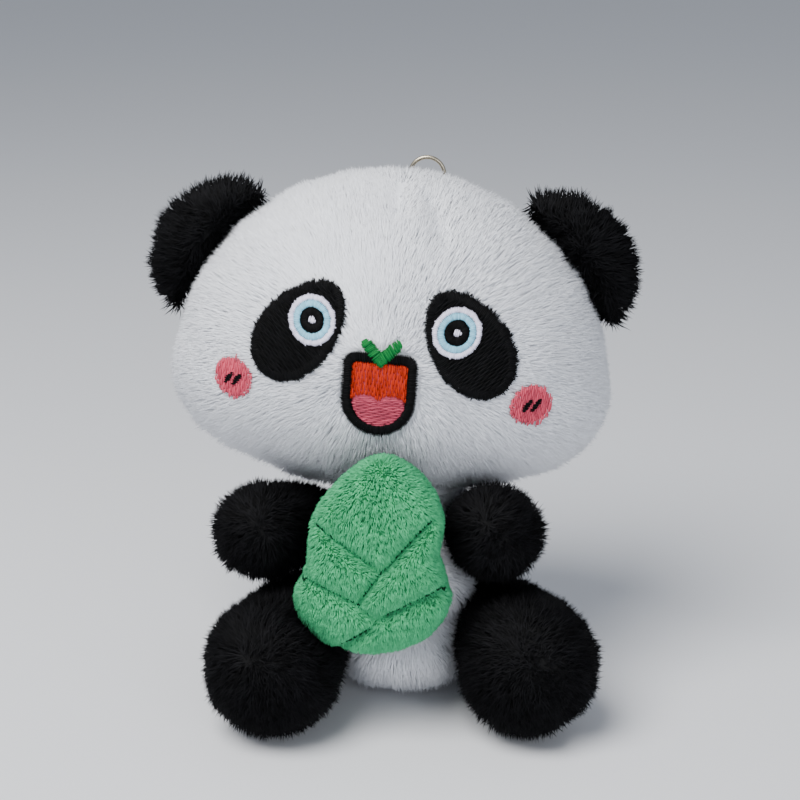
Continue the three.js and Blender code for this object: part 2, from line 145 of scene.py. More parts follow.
def relax(mesh, amount):
    """Moves each point part of the way to the middle of its neighbours."""
    points = points_of(mesh)
    edges = np.empty(len(mesh.edges) * 2, int)
    mesh.edges.foreach_get("vertices", edges)
    edges = edges.reshape(-1, 2)
    total = np.zeros_like(points)
    count = np.zeros(len(points))
    for a, b in ((0, 1), (1, 0)):
        np.add.at(total, edges[:, a], points[edges[:, b]])
        np.add.at(count, edges[:, a], 1)
    move_points(mesh, points + amount * (total / count[:, None] - points))


def remeshed(name, nodes, voxel, rounds=4):
    """One closed surface of small even faces round the given CAD nodes."""
    rough = new_object(f"{name}_rough", joined_mesh(name, nodes))
    modifier = rough.modifiers.new("even", "REMESH")
    modifier.mode = "VOXEL"
    modifier.voxel_size = voxel
    graph = bpy.context.evaluated_depsgraph_get()
    even = bpy.data.meshes.new_from_object(rough.evaluated_get(graph))
    bpy.data.objects.remove(rough)
    even.name = name
    for _ in range(rounds):
        relax(even, 0.5)
    return new_object(name, even)


def tree_of(mesh):
    faces = [tuple(face.vertices) for face in mesh.polygons]
    return BVHTree.FromPolygons([tuple(point) for point in points_of(mesh)], faces)


def waves(points, size, seed):
    """A smooth, repeatable lumpiness between -1 and 1."""
    turns = np.random.default_rng(seed)
    total = np.zeros(len(points))
    for _ in range(6):
        direction = unit(turns.normal(size=3))
        total += np.sin(points @ direction * (2 * math.pi / size) + turns.uniform(0, 2 * math.pi))
    return total / 6


# ------------------------------------------------------------------ materials
def principled(name, colour, roughness, sheen=0.0, metallic=0.0, specular=0.3):
    material = bpy.data.materials.new(name)
    material.use_nodes = True
    shader = material.node_tree.nodes["Principled BSDF"]
    shader.inputs["Base Color"].default_value = (*colour, 1)
    shader.inputs["Roughness"].default_value = roughness
    shader.inputs["Metallic"].default_value = metallic
    shader.inputs["Specular IOR Level"].default_value = specular
    shader.inputs["Sheen Weight"].default_value = sheen
    shader.inputs["Sheen Roughness"].default_value = 0.5
    shader.inputs["Sheen Tint"].default_value = (*colour, 1)
    return material


def patterned(name, dark, light, kind, scale, roughness, metallic=0.0, depth=0.15, direction=None):
    """A colour between dark and light by a noise or wave texture, which also dents the surface."""
    material = principled(name, light, roughness, metallic=metallic)
    tree = material.node_tree
    shader = tree.nodes["Principled BSDF"]
    place = tree.nodes.new("ShaderNodeTexCoord")
    texture = tree.nodes.new(f"ShaderNodeTex{kind}")
    texture.inputs["Scale"].default_value = scale
    texture.inputs["Detail"].default_value = 3
    if direction:
        texture.bands_direction = direction
        texture.inputs["Distortion"].default_value = 1.5
    ramp = tree.nodes.new("ShaderNodeValToRGB")
    ramp.color_ramp.elements[0].color = (*dark, 1)
    ramp.color_ramp.elements[1].color = (*light, 1)
    dents = tree.nodes.new("ShaderNodeBump")
    dents.inputs["Distance"].default_value = depth * MM
    tree.links.new(place.outputs["Object"], texture.inputs["Vector"])
    tree.links.new(texture.outputs[0], ramp.inputs["Fac"])
    tree.links.new(ramp.outputs["Color"], shader.inputs["Base Color"])
    tree.links.new(texture.outputs[0], dents.inputs["Height"])
    tree.links.new(dents.outputs["Normal"], shader.inputs["Normal"])
    return material


def tones(name, colour, spread, count, roughness, sheen, specular=0.2):
    """The same fibre in a few tones, one for each material slot."""
    made = []
    for nth, shade in enumerate(np.linspace(1 - spread, 1 + spread, count)):
        shaded = tuple(np.clip(np.array(colour) * shade, 0, 1))
        made.append(principled(f"{name}_{nth + 1}", shaded, roughness, sheen, specular=specular))
    return made


# ------------------------------------------------------------------ creases
class Crease:
    """A line sewn or folded into a skin."""

    def __init__(self, points):
        self.points = np.asarray(points)

    def away(self, points):
        """How far each point is from the line, and which way leads off it."""
        best = np.full(len(points), 1.0)
        offset = np.zeros((len(points), 3))
        for place in self.points:
            gap = points - place
            length = np.linalg.norm(gap, axis=1)
            closer = length < best
            best[closer] = length[closer]
            offset[closer] = gap[closer]
        return best, unit(offset)


def crease_on(mesh, centre, aims, step=0.6 * MM):
    """A crease where the given directions from a centre meet the skin."""
    tree = tree_of(mesh)
    directions = [unit(np.asarray(a)) for a in aims]
    points = []
    for start, end in zip(directions, directions[1:]):
        reach = (tree.ray_cast(Vector(centre), Vector(start))[0] - Vector(centre)).length
        count = max(int(reach * np.linalg.norm(end - start) / step), 2)
        for t in np.linspace(0, 1, count):
            hit = tree.ray_cast(Vector(centre), Vector(unit(start + (end - start) * t)))[0]
            points.append(tuple(hit))
    return Crease(points)


def nearest_crease(creases, points):
    best = np.full(len(points), 1.0)
    lead = np.zeros((len(points), 3))
    for crease in creases:
        distance, direction = crease.away(points)
        closer = distance < best
        best[closer] = distance[closer]
        lead[closer] = direction[closer]
    return best, lead


# ------------------------------------------------------------------ puffed skins
SIM_SCALE = 20  # the solver works at furniture size
SIM_FRAMES = 14


def make_skin(name, nodes, voxel, grow):
    """An even skin that stands grow outside the given CAD solids."""
    skin = remeshed(name, nodes, voxel)
    move_points(skin.data, points_of(skin.data) + normals_of(skin.data) * grow)
    return skin


def fill_belly(mesh, forward=5.5 * MM, top=21 * MM, half_width=13 * MM):
    """Lets the belly hang forward between the legs, under the shoot."""
    points = points_of(mesh)
    middle_x = middle("body_stuffing")[0]
    share = 1 - smooth_step(points[:, 2], 0.55 * top, top)
    share *= 1 - smooth_step(np.abs(points[:, 0] - middle_x), 0.6 * half_width, 1.5 * half_width)
    share *= smooth_step(normals_of(mesh) @ FORWARD, -0.2, 0.4)
    move_points(mesh, points + FORWARD * (forward * share)[:, None])


def root_towards_head(mesh, seam, reach=9 * MM, draw=1.2 * MM):
    """Draws an ear's root in towards the head, so that its pile meets the head's."""
    points = points_of(mesh)
    share = 1 - smooth_step(np.linalg.norm(points - seam, axis=1), 0.3 * reach, reach)
    move_points(mesh, points + unit(HEAD_CENTRE - seam) * (draw * share)[:, None])


def widen_jaw(mesh, widest=1.6 * MM):
    """Fills out the lower sides of the head, which hang a little full over the arms."""
    points = points_of(mesh)
    flat = flattened(points)
    low = smooth_step(-flat[:, 1], 2 * MM, 14 * MM) * (1 - smooth_step(-flat[:, 1], 20 * MM, 26 * MM))
    beside = smooth_step(np.abs(flat[:, 0]), 16 * MM, 34 * MM)
    move_points(mesh, points + normals_of(mesh) * (widest * low * beside)[:, None])


def press_creases(skin, creases, depth, width):
    """Dents the skin along the creases, and holds it there while it is blown up."""
    if not creases:
        return
    points = points_of(skin.data)
    distance, _ = nearest_crease(creases, points)
    normals = normals_of(skin.data)
    facing = 0.25 + 0.75 * smooth_step(normals @ FORWARD, 0.0, 0.6)  # a crease fades round the sides
    pull = depth * facing * np.exp(-((distance / width) ** 2))
    move_points(skin.data, points - normals * pull[:, None])
    group = skin.vertex_groups.new(name="sewn")
    group.add(np.flatnonzero(distance < width * 0.8).tolist(), 1.0, "REPLACE")


def blow_up(skins, cap):
    """Cloth simulation of the skins under inner pressure, each point held within cap of where it started."""
    scene = bpy.context.scene
    for skin in skins:
        skin.scale = (SIM_SCALE,) * 3
        cloth = skin.modifiers.new("cloth", "CLOTH")
        cloth.settings.quality = 4
        cloth.settings.use_pressure = True
        cloth.settings.uniform_pressure_force = 5
        cloth.settings.tension_stiffness = 8
        cloth.settings.compression_stiffness = 8
        cloth.settings.bending_stiffness = 0.3
        cloth.settings.effector_weights.gravity = 0
        if skin.vertex_groups:
            cloth.settings.vertex_group_mass = "sewn"
        cloth.point_cache.frame_end = SIM_FRAMES
    for step in range(1, SIM_FRAMES + 1):
        scene.frame_set(step)
    graph = bpy.context.evaluated_depsgraph_get()
    for skin in skins:
        start = points_of(skin.data)
        move = points_of(skin.evaluated_get(graph).data) - start
        length = np.linalg.norm(move, axis=1, keepdims=True)
        skin.modifiers.remove(skin.modifiers["cloth"])
        skin.scale = (1, 1, 1)
        move_points(skin.data, start + move * np.minimum(1, cap / np.maximum(length, 1e-9)))
        relax(skin.data, 0.5)
    scene.frame_set(1)


def finish_skin(skin, material, body, slot, nodes):
    """Keeps the skin off the floor, and lets it take the place of the CAD covers."""
    points = points_of(skin.data)
    points[:, 2] = np.maximum(points[:, 2], 0.5 * MM)
    move_points(skin.data, points)
    shade_smooth(skin.data)
    skin.data.materials.append(material)
    attach(skin, body, slot, *nodes)


def add_filling(node, body, material, inset=1.3 * MM, lump=0.7 * MM):
    """Loose fibre inside a skin, a little smaller than the CAD filling, and lumpy."""
    fibre = remeshed(f"{node}_fibre", [node], 2.4 * MM, rounds=2)
    points = points_of(fibre.data)
    height = -inset + lump * (waves(points, 9 * MM, 3) - 0.6)
    move_points(fibre.data, points + normals_of(fibre.data) * height[:, None])
    shade_smooth(fibre.data)
    fibre.data.materials.append(material)
    attach(fibre, body, "fibrefill", node)


# ------------------------------------------------------------------ pile
class Pile:
    """How the pile of one fabric stands. Lengths in millimetres."""

    def __init__(self, materials, per_mm2, length, width, lean, stray, bend, tuft, gather, ragged=0.15,
                 parting=0.9):
        self.materials = materials
        self.per_mm2 = per_mm2
        self.length = length * MM
        self.width = width * MM
        self.lean = lean  # how far a strand leans along the comb
        self.stray = stray  # how much each strand goes its own way
        self.bend = bend  # how much further its upper part leans
        self.tuft = tuft  # strands in a tuft
        self.gather = gather  # how far the tips of a tuft draw together
        self.ragged = ragged  # how much the lengths differ
        self.parting = parting * MM  # how far from a crease the pile is combed away from it


def scatter(mesh, per_mm2):
    """Random points on the mesh with their smooth normals."""
    mesh.calc_loop_triangles()
    corners = np.empty(len(mesh.loop_triangles) * 3, int)
    mesh.loop_triangles.foreach_get("vertices", corners)
    corners = corners.reshape(-1, 3)
    points, normals = points_of(mesh), normals_of(mesh)
    a, b, c = (points[corners[:, k]] for k in range(3))
    area = np.linalg.norm(np.cross(b - a, c - a), axis=1) / 2
    chosen = rng.choice(len(area), int(area.sum() / MM**2 * per_mm2), p=area / area.sum())
    u, v = rng.random((2, len(chosen)))
    over = u + v > 1
    u[over], v[over] = 1 - u[over], 1 - v[over]
    weights = np.stack([1 - u - v, u, v], axis=1)[:, :, None]
    picked = corners[chosen]
    return (points[picked] * weights).sum(1), unit((normals[picked] * weights).sum(1))


def tuft_leaders(roots, strands_in_tuft):
    """For each strand, the strand at the heart of its tuft."""
    hearts = rng.choice(len(roots), max(len(roots) // strands_in_tuft, 1), replace=False)
    tree = KDTree(len(hearts))
    for heart in hearts:
        tree.insert(roots[heart], int(heart))
    tree.balance()
    return np.array([tree.find(root)[1] for root in roots])


STRAND_FACES = ((2, 1, 0), (0, 1, 4, 3), (1, 2, 5, 4), (2, 0, 3, 5), (3, 4, 6), (4, 5, 6), (5, 3, 6))
STRAND_POINTS = 7


def strand_mesh(name, roots, middles, tips, normals, width):
    """Closed, three-sided, bent and pointed strands, as one mesh."""
    count = len(roots)
    lower = unit(middles - roots)
    side = unit(np.cross(lower, rng.normal(size=(count, 3))))
    other = np.cross(lower, side)
    points = np.empty((count, STRAND_POINTS, 3))
    bulge = np.empty((count, STRAND_POINTS, 3))
    for k in range(3):
        turn = 2 * math.pi * k / 3
        radial = side * math.cos(turn) + other * math.sin(turn)
        points[:, k] = roots + radial * (width * 0.5)[:, None]
        points[:, 3 + k] = middles + radial * (width * 0.44)[:, None]
        bulge[:, k] = bulge[:, 3 + k] = radial
    points[:, 6] = tips
    bulge[:, 6] = unit(tips - middles)
    sizes = np.tile([len(face) for face in STRAND_FACES], count)
    pattern = np.concatenate([np.array(face) for face in STRAND_FACES])
    loops = (np.arange(count)[:, None] * STRAND_POINTS + pattern).reshape(-1)
    mesh = bpy.data.meshes.new(name)
    mesh.vertices.add(count * STRAND_POINTS)
    mesh.loops.add(len(loops))
    mesh.polygons.add(len(sizes))
    mesh.vertices.foreach_set("co", points.reshape(-1))
    mesh.loops.foreach_set("vertex_index", loops)
    mesh.polygons.foreach_set("loop_start", np.concatenate([[0], np.cumsum(sizes)[:-1]]))
    mesh.polygons.foreach_set("use_smooth", np.ones(len(sizes), bool))
    mesh.update(calc_edges=True)
    soft = unit(normals[:, None, :] + bulge * 0.5)
    mesh.normals_split_custom_set_from_vertices(soft.reshape(-1, 3).tolist())
    return mesh


ROOT_DEPTH = 0.3 * MM  # how deep a strand starts in its skin
FLOOR_GAP = 0.15 * MM  # the lowest that a strand reaches
BARE_SEAM = 0.4 * MM  # half the width of the bare strip along a crease
LOWER_SHARE = 0.55  # of a strand's length, up to its bend


def grow_pile(name, skin, pile, comb, body, slot, creases=(), keep=None, scale=None, split=1):
    """Strands over a skin, as split meshes: comb gives their lean, keep their places, scale their length."""
    roots, normals = scatter(skin.data, pile.per_mm2)
    kept = roots[:, 2] > 0.8 * MM  # none where it sits
    if keep is not None:
        kept &= keep(roots, normals)
    distance, off_crease = nearest_crease(creases, roots)
    kept &= distance > BARE_SEAM + 0.25 * pile.parting
    roots, normals = roots[kept], normals[kept]
    distance, off_crease = distance[kept], off_crease[kept]
    count = len(roots)
    near_crease = np.exp(-distance / pile.parting)[:, None]
    along = unit(comb(roots)) * (1 - near_crease) + off_crease * near_crease * 3
    along = unit(along - normals * (along * normals).sum(1, keepdims=True))
    length = pile.length * rng.uniform(1 - pile.ragged, 1 + pile.ragged, count)
    length *= 1 + 0.12 * waves(roots, 7 * MM, 11)
    length *= 0.3 + 0.7 * smooth_step(distance, BARE_SEAM, 1.4 * MM + pile.parting)
    if scale is not None:
        length *= scale(roots)
    swirl = np.stack([waves(roots, 11 * MM, seed) for seed in (21, 22, 23)], axis=1) * pile.stray * 1.6
    stray = rng.normal(size=(count, 3)) * pile.stray + swirl
    first = unit(normals + along * pile.lean + stray)
    second = unit(first + along * pile.bend + stray * 0.6)
    middles = roots + first * (length * LOWER_SHARE)[:, None]
    tips = middles + second * (length * (1 - LOWER_SHARE))[:, None]
    leader = tuft_leaders(roots, pile.tuft)
    pull = pile.gather * rng.uniform(0.4, 1.0, count)[:, None]
    tips += (tips[leader] - tips) * pull
    middles += (middles[leader] - middles) * pull * 0.35
    for part in (middles, tips):
        part[:, 2] = np.maximum(part[:, 2], FLOOR_GAP)
    sunk = roots - normals * ROOT_DEPTH
    width = pile.width * rng.uniform(0.75, 1.2, count)
    own, shared = rng.integers(0, len(pile.materials), count), leader % len(pile.materials)
    shade = np.where(rng.random(count) < 0.5, own, shared)
    centre = points_of(skin.data).mean(0)
    angle = np.arctan2(roots[:, 2] - centre[2], roots[:, 0] - centre[0])
    order = np.argsort(angle)
    for nth, mine in enumerate(np.array_split(order, split)):
        label = name if split == 1 else f"{name}_{nth + 1}"
        mesh = strand_mesh(label, sunk[mine], middles[mine], tips[mine], normals[mine], width[mine])
        made = new_object(label, mesh, pile.materials)
        mesh.polygons.foreach_set("material_index", np.repeat(shade[mine], len(STRAND_FACES)))
        attach(made, body, slot)


# ------------------------------------------------------------------ the head's surface under the stitches
class FaceSurface:
    """The head's skin from the front as a smooth height field over its own sideways and upward directions."""

    STEP = 0.6 * MM

    def __init__(self, mesh, half_across, low, high):
        tree = tree_of(mesh)
        self.across = np.arange(-half_across, half_across, self.STEP)
        self.up = np.arange(low, high, self.STEP)
        start = HEAD_CENTRE + FORWARD * 60 * MM
        field = np.full((len(self.up), len(self.across)), np.nan)
        for row, v in enumerate(self.up):
            for column, u in enumerate(self.across):
                hit = tree.ray_cast(Vector(start + ACROSS * u + UPWARD * v), Vector(-FORWARD))[0]
                if hit is not None:
                    field[row, column] = (np.array(hit) - HEAD_CENTRE) @ FORWARD
        field = np.where(np.isnan(field), np.nanmin(field), field)
        for _ in range(6):
            field[1:-1] = (field[:-2] + 2 * field[1:-1] + field[2:]) / 4
            field[:, 1:-1] = (field[:, :-2] + 2 * field[:, 1:-1] + field[:, 2:]) / 4
        self.field = field
        self.slope_up, self.slope_across = np.gradient(field, self.STEP)

    def read(self, grid, flat):
        column = np.clip((flat[:, 0] - self.across[0]) / self.STEP, 0, len(self.across) - 1.001)
        row = np.clip((flat[:, 1] - self.up[0]) / self.STEP, 0, len(self.up) - 1.001)
        c, r = column.astype(int), row.astype(int)
        fc, fr = column - c, row - r
        low = grid[r, c] * (1 - fc) + grid[r, c + 1] * fc
        high = grid[r + 1, c] * (1 - fc) + grid[r + 1, c + 1] * fc
        return low * (1 - fr) + high * fr

    def normals(self, flat):
        across = self.read(self.slope_across, flat)[:, None]
        up = self.read(self.slope_up, flat)[:, None]
        return unit(FORWARD - ACROSS * across - UPWARD * up)

    def place(self, flat, height):
        """Points on the skin, raised by height along its normal."""
        flat = np.asarray(flat)
        depth = self.read(self.field, flat)[:, None]
        skin = HEAD_CENTRE + ACROSS * flat[:, :1] + UPWARD * flat[:, 1:] + FORWARD * depth
        return skin + self.normals(flat) * np.reshape(height, (-1, 1))


def flattened(points):
    """Sideways and upward distances from the head's centre."""
    from_centre = points - HEAD_CENTRE
    return np.stack([from_centre @ ACROSS, from_centre @ UPWARD], axis=1)


def flat_points(*nodes):
    return flattened(np.concatenate([points_of(NODES[node].data) for node in nodes]))


def hull(points):
    """The convex outline of flat points, anticlockwise."""
    ordered = sorted(map(tuple, points))

    def half(sequence):
        chain = []
        for point in sequence:
            while len(chain) > 1:
                (ax, ay), (bx, by) = chain[-2], chain[-1]
                if (bx - ax) * (point[1] - ay) - (by - ay) * (point[0] - ax) > 0:
                    break
                chain.pop()
            chain.append(point)
        return chain[:-1]

    return np.array(half(ordered) + half(reversed(ordered)))


def even_outline(outline, step):
    """The same closed outline with points at even distances."""
    closed = np.concatenate([outline, outline[:1]])
    run = np.concatenate([[0], np.cumsum(np.linalg.norm(np.diff(closed, axis=0), axis=1))])
    stops = np.linspace(0, run[-1], max(int(run[-1] / step), 12), endpoint=False)
    return np.stack([np.interp(stops, run, closed[:, k]) for k in range(2)], axis=1)


def rounded(outline, times=2):
    for _ in range(times):
        outline = (np.roll(outline, 1, axis=0) + 2 * outline + np.roll(outline, -1, axis=0)) / 4
    return outline


# ------------------------------------------------------------------ stitches
THREAD_SIDES = 5
THREAD_SECTIONS = 5
THREAD_FLATNESS = 0.8  # a thread's thickness over its width
STITCH_DIP = 0.35 * MM  # how far a stitch goes down at its ends


class Threads:
    """Stitches, each a thin tube that dips into the fabric at both ends, built as one mesh."""

    def __init__(self):
        self.points = []
        self.faces = []
        self.shades = []

    def add(self, centres, outward, width, thickness, shade=0):
        """One tube along the centres; its cross-section is width across and thickness outward."""
        base = len(self.points)
        along = unit(np.gradient(centres, axis=0))
        side = unit(np.cross(outward, along))
        taper = np.sin(np.linspace(0.28, math.pi - 0.28, len(centres))) ** 0.5
        for k, centre in enumerate(centres):
            for turn in range(THREAD_SIDES):
                angle = 2 * math.pi * turn / THREAD_SIDES
                across = side[k] * (math.cos(angle) * width / 2 * taper[k])
                raised = outward[k] * (math.sin(angle) * thickness / 2 * taper[k])
                self.points.append(centre + across + raised)
        rings = len(centres)
        for k in range(rings - 1):
            for turn in range(THREAD_SIDES):
                following = (turn + 1) % THREAD_SIDES
                low = base + k * THREAD_SIDES
                high = low + THREAD_SIDES
                self.faces.append((low + turn, low + following, high + following, high + turn))
        last = base + (rings - 1) * THREAD_SIDES
        self.faces.append(tuple(base + turn for turn in reversed(range(THREAD_SIDES))))
        self.faces.append(tuple(last + turn for turn in range(THREAD_SIDES)))
        self.shades += [shade] * ((rings - 1) * THREAD_SIDES + 2)

    def object(self, name, materials):
        mesh = build_mesh(name, self.points, self.faces)
        made = new_object(name, mesh, materials)
        mesh.polygons.foreach_set("material_index", self.shades)
        shade_smooth(mesh)
        return made


def sew(threads, surface, start, end, height, width, shades=1):
    """One stitch over the face, from start to end in flat coordinates."""
    share = np.linspace(0, 1, THREAD_SECTIONS)
    flat = start + (end - start) * share[:, None]
    rise = height - STITCH_DIP * (1 - np.sin(math.pi * (0.08 + 0.84 * share)) ** 0.4)
    shade = int(rng.integers(shades))
    threads.add(surface.place(flat, rise), surface.normals(flat), width, width * THREAD_FLATNESS, shade)


PITCH = 0.36 * MM  # from one thread to the next
THREAD = 0.42 * MM  # width of a thread
JITTER = 0.16 * MM  # of the ends of stitches
UNEVEN = 0.03 * MM  # of a thread's height and place
PROBE = 0.12 * MM  # step in which the ends of a row are looked for
SHORTEST = 0.4 * MM


def jittered(point, amount):
    return point + rng.normal(size=2) * amount


def fill_rows(threads, surface, inside, low, high, direction, height, longest, shades=1, jag=JITTER):
    """Rows of stitches in one direction over the area where inside(points) is true."""
    direction = np.asarray(direction, float) / np.hypot(*direction)
    across = np.array([-direction[1], direction[0]])
    corners = np.array([[low[0], low[1]], [low[0], high[1]], [high[0], low[1]], [high[0], high[1]]])
    along_range = corners @ direction
    across_range = corners @ across
    probe = np.arange(along_range.min(), along_range.max(), PROBE)
    for row, offset in enumerate(np.arange(across_range.min() + PITCH / 2, across_range.max(), PITCH)):
        line = probe[:, None] * direction + offset * across
        mask = np.concatenate([[False], inside(line), [False]])
        edges = np.flatnonzero(mask[1:] != mask[:-1])
        for first, last in zip(edges[::2], edges[1::2]):
            start, end = probe[first] + rng.normal() * jag, probe[last - 1] + rng.normal() * jag
            if end - start < SHORTEST:
                continue
            # Every other row ends its stitches elsewhere, as brickwork does.
            stops = np.arange(start + longest * (0.35 + 0.5 * (row % 2)), end - longest * 0.25, longest)
            stops = np.concatenate([[start], stops, [end]])
            for a, b in zip(stops, stops[1:]):
                place = offset * across + across * rng.normal() * UNEVEN
                sew(threads, surface, a * direction + place, (b + PROBE) * direction + place,
                    height + rng.normal() * UNEVEN, THREAD, shades=shades)


def edge_stitches(threads, surface, outline, length, height, shades=1, jag=JITTER):
    """Short stitches side by side across an outline, reaching inward by their length."""
    outline = even_outline(outline, PITCH * 0.95)
    ahead = unit(np.roll(outline, -1, axis=0) - np.roll(outline, 1, axis=0))
    inward = np.stack([-ahead[:, 1], ahead[:, 0]], axis=1)
    for point, into in zip(outline, inward):
        start = point - into * abs(rng.normal()) * jag
        end = point + into * (length + rng.normal() * jag * 0.6)
        sew(threads, surface, start, end, height + rng.normal() * UNEVEN, THREAD, shades=shades)


def bed(name, surface, outer, inner, height, thickness, material):
    """A thin padded bed under stitches, between an outer outline and an inner one or a centre point."""
    outer = even_outline(outer, 0.8 * MM)
    if inner is None:
        inner = np.repeat(outer.mean(0)[None], len(outer), axis=0) + (outer - outer.mean(0)) * 0.02
    else:
        spare = even_outline(inner, 0.3 * MM)
        inner = np.array([spare[np.argmin(np.linalg.norm(spare - point, axis=1))] for point in outer])
    loops = [inner + (outer - inner) * share for share in np.linspace(0, 1, 8)]
    count = len(outer)
    points, faces = [], []
    for level in (height, height - thickness):
        for nth, loop in enumerate(loops):
            between = 0 < nth < len(loops) - 1
            points += surface.place(loop, level if between else (level + height - thickness) / 2).tolist()
    side = len(loops) * count
    for nth in range(len(loops) - 1):
        for k in range(count):
            a, b = nth * count + k, nth * count + (k + 1) % count
            c, d = b + count, a + count
            faces.append((d, c, b, a))
            faces.append((side + a, side + b, side + c, side + d))
    for k in range(count):
        a, b = k, (k + 1) % count
        faces.append((a, b, side + b, side + a))
        last = (len(loops) - 1) * count
        faces.append((last + b, last + a, side + last + a, side + last + b))
    made = new_object(name, build_mesh(name, points, faces), [material])
    made.data.validate()
    shade_smooth(made.data)
    return made


# ------------------------------------------------------------------ colours
WHITE = (0.86, 0.88, 0.93)
BLACK = (0.0042, 0.0042, 0.005)
GREEN = (0.07, 0.46, 0.2)

white_backing = patterned("white_backing", (0.78, 0.8, 0.84), (0.88, 0.9, 0.94), "Noise", 900, 1.0)
black_backing = patterned("black_backing", (0.002, 0.002, 0.002), (0.006, 0.006, 0.007), "Noise", 900, 1.0)
green_backing = patterned("green_backing", (0.01, 0.1, 0.035), (0.03, 0.26, 0.09), "Noise", 900, 1.0)
fibre_fill = patterned("fibre_fill", (0.6, 0.6, 0.58), (0.8, 0.8, 0.78), "Noise", 400, 1.0)
ribbon_weave = patterned("ribbon_weave", (0.55, 0.5, 0.4), (0.82, 0.77, 0.64), "Wave", 260, 0.8,
                         direction="X")
wire_brushed = patterned("wire_brushed", (0.42, 0.36, 0.26), (0.62, 0.56, 0.44), "Noise", 700, 0.32,
                         metallic=1.0, depth=0.02)
shank_twist = patterned("shank_twist", (0.01, 0.06, 0.025), (0.03, 0.16, 0.07), "Wave", 300, 0.8,
                        direction="Z")

white_fibre = tones("white_fibre", WHITE, 0.03, 3, 0.9, 0.15, 0.1)
black_fibre = tones("black_fibre", BLACK, 0.5, 3, 0.7, 0.02, 0.08)
green_fibre = tones("green_fibre", GREEN, 0.2, 3, 0.8, 0.12, 0.08)
black_thread = tones("black_satin", (0.0018, 0.0018, 0.0022), 0.4, 2, 0.55, 0, 0.08)
white_thread = tones("white_satin", (0.78, 0.75, 0.9), 0.06, 2, 0.55, 0, 0.2)
blue_thread = tones("blue_satin", (0.26, 0.58, 0.74), 0.08, 2, 0.55, 0, 0.2)
orange_thread = tones("orange_satin", (0.42, 0.022, 0.004), 0.2, 3, 0.55, 0, 0.1)
pink_thread = tones("pink_satin", (0.42, 0.06, 0.1), 0.16, 3, 0.55, 0, 0.1)
cheek_thread = tones("cheek_satin", (0.56, 0.075, 0.12), 0.15, 3, 0.6, 0, 0.1)
leaf_thread = tones("leaf_satin", (0.006, 0.14, 0.03), 0.2, 3, 0.55, 0, 0.1)
quilt_thread = tones("quilt_satin", (0.002, 0.03, 0.012), 0.2, 2, 0.7, 0, 0.06)

# ------------------------------------------------------------------ skins
# How far the skins start outside the CAD pieces that they are made from. The pile fills the rest.
COVER_GROW = 0.4 * MM
SHOOT_GROW = 2.3 * MM
EAR_GROW = -1.6 * MM

skins = {
    "head": make_skin("head_skin", ["head_stuffing"], 1.7 * MM, COVER_GROW),
    "body": make_skin("body_skin", ["body_stuffing"], 1.7 * MM, COVER_GROW),
    "shoot": make_skin("shoot_skin", ["shoot_stuffing"], 0.75 * MM, SHOOT_GROW),
}
for limb in LIMBS:
    skins[limb] = make_skin(f"{limb}_skin", [f"{limb}_stuffing"], 1.2 * MM, 0)
widen_jaw(skins["head"].data)
fill_belly(skins["body"].data)
for side in SIDES:
    panels = [f"ear_{side}_front", f"ear_{side}_back"]
    skins[f"ear_{side}"] = make_skin(f"ear_{side}_skin", panels, 0.9 * MM, EAR_GROW)
    root_towards_head(skins[f"ear_{side}"].data, np.array(JOINTS[f"ear_{side}_fold"]["pos_m"]))

creases = {name: [] for name in skins}


def up_the_head(angle, across=0.0):
    """A direction in the head's middle plane, tipped forward from its crown by that many degrees."""
    angle = math.radians(angle)
    return UPWARD * math.cos(angle) + FORWARD * math.sin(angle) + ACROSS * across


head_mesh = skins["head"].data
creases["head"].append(crease_on(head_mesh, HEAD_CENTRE, [up_the_head(2, 0.0), up_the_head(27, 0.03)]))
# The fold is pressed in, but no pile parts on it.
fold = crease_on(head_mesh, HEAD_CENTRE, [up_the_head(20, 0.22), up_the_head(38, 0.36)])


def foot_centre(limb):
    """The middle of the ball at a limb's far end."""
    low, high = (np.array(corner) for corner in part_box(f"{limb}_stuffing"))
    radius = (high[2] - low[2]) / 2
    cloud = points_of(NODES[f"{limb}_stuffing"].data)
    front = cloud[np.argmin(cloud[:, 1])]
    return np.array([front[0], low[1] + radius, (low[2] + high[2]) / 2])


SEAM_AIMS = {
    "arm_right": [aim(4, 6), aim(28, 17), aim(50, 24)],
    "leg_right": [aim(14, 52), aim(32, 12), aim(58, -28)],
}
for limb, aims in SEAM_AIMS.items():
    creases[limb].append(crease_on(skins[limb].data, foot_centre(limb), aims))


# ------------------------------------------------------------------ the shoot's quilting
SHOOT_CENTRE = middle("shoot_stuffing")


def shoot_front(mesh):
    """Rays from in front of the shoot back onto its skin."""
    tree = tree_of(mesh)

    def cast(points):
        hits, normals = [], []
        for point in points:
            start = Vector((point[0], SHOOT_CENTRE[1] - 30 * MM, point[2]))
            hit, normal = tree.ray_cast(start, Vector(-FORWARD))[:2]
            hits.append(tuple(hit) if hit else tuple(point))
            normals.append(tuple(normal) if hit else tuple(FORWARD))
        return np.array(hits), np.array(normals)

    return cast


